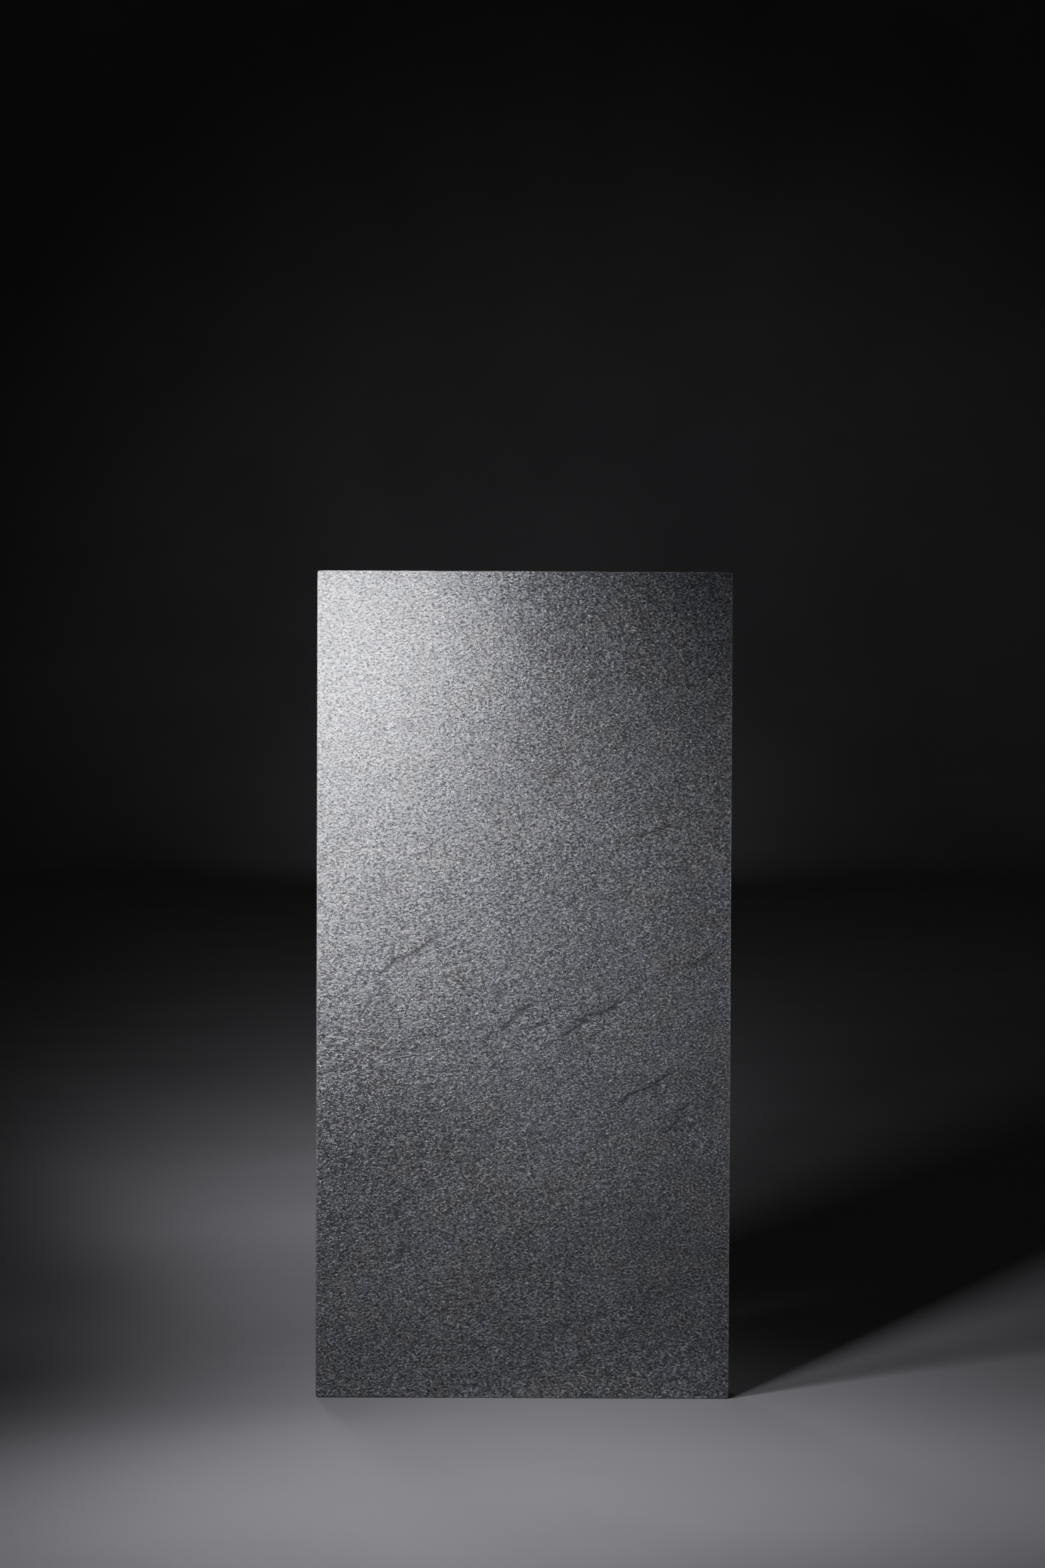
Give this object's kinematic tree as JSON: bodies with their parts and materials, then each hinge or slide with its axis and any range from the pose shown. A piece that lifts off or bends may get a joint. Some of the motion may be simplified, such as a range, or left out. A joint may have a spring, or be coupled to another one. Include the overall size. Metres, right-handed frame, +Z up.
{
  "type": "riven stone slab",
  "caption": "Rectangular slab of dark fine-grained stone, twice as tall as wide, with a riven front face and sawn foot, top, sides and back.",
  "frame": {"origin": "middle of the sawn foot that the slab stands on", "axes": "+X to the right of someone looking at the riven face, +Y from the riven face through to the sawn back, +Z up along the slab's long side"},
  "size_m": [0.3, 0.03, 0.6],
  "materials": {
    "riven_stone": "natural cleft, satin, dark blue-grey with a fine grain"
  },
  "bodies": {
    "root": {"stone_slab": "riven_stone"}
  },
  "joints": []
}
